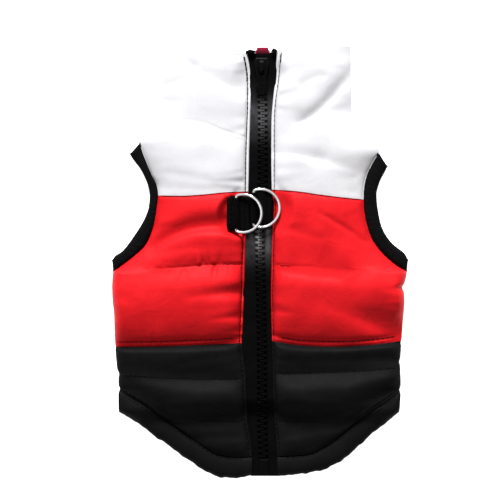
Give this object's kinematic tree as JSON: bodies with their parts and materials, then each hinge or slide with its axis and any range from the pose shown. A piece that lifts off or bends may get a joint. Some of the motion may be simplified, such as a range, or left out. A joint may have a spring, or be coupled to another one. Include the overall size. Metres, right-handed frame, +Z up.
{
  "type": "padded dog vest laid flat",
  "caption": "Sleeveless padded dog vest laid flat, zipped along the back, with a stand-up collar, bound armholes, a rounded tail and leash rings.",
  "frame": {"origin": "centre of the vest's footprint, on the surface it lies on", "axes": "+Y from the tail to the collar, +X to the right as seen from above with the collar up, +Z up from the surface"},
  "size_m": [0.178, 0.2595, 0.015],
  "materials": {
    "white_shell": "smooth white polyester shell, padded",
    "red_shell": "satin red polyester shell, padded",
    "black_shell": "smooth black polyester shell, padded",
    "crimson_lining": "thin crimson lining",
    "black_binding": "black folded binding",
    "zip_tape": "black woven zip tape",
    "zip_plastic": "black moulded plastic",
    "black_lacquer": "black lacquered zinc",
    "black_webbing": "black woven webbing",
    "chrome": "bright plated steel wire"
  },
  "bodies": {
    "vest": {"collar_back_left": "white_shell", "collar_back_right": "white_shell", "yoke_left": "white_shell", "yoke_right": "white_shell", "middle_left": "red_shell", "middle_right": "red_shell", "lower_left": "black_shell", "lower_right": "black_shell", "hem_casing_left": "black_shell", "hem_casing_right": "black_shell", "tail_lining_left": "crimson_lining", "tail_lining_right": "crimson_lining", "collar_lining": "crimson_lining", "collar_throat": "white_shell", "chest_yoke": "white_shell", "chest_middle": "red_shell", "belly": "black_shell", "belly_hem": "black_shell", "armhole_binding_left": "black_binding", "armhole_binding_right": "black_binding", "zip_tape_left": "zip_tape", "zip_tape_right": "zip_tape", "zip_chain": "zip_plastic", "zip_box": "zip_plastic", "zip_slider": "black_lacquer", "ring_tab_left": "black_webbing", "ring_tab_right": "black_webbing"},
    "left_ring": {"d_ring_left": "chrome"},
    "right_ring": {"d_ring_right": "chrome"},
    "pull_tab": {"zip_pull": "black_lacquer"}
  },
  "joints": [
    {"name": "right_ring_swing", "type": "hinge", "parent": "vest", "child": "right_ring", "pos_m": [-0.0038, 0.0327, 0.00955], "axis": [0, -1, 0], "range_deg": [0, 140]},
    {"name": "left_ring_swing", "type": "hinge", "parent": "vest", "child": "left_ring", "pos_m": [-0.0142, 0.0295, 0.0105], "axis": [0, -1, 0], "range_deg": [0, 140]},
    {"name": "pull_tab_swing", "type": "hinge", "parent": "vest", "child": "pull_tab", "pos_m": [0.0012, 0.1175, 0.01015], "axis": [-1, 0, 0], "range_deg": [0, 165]}
  ],
  "couplings": [
    {"joint": "left_ring_swing", "follows": "right_ring_swing", "ratio": 1}
  ]
}
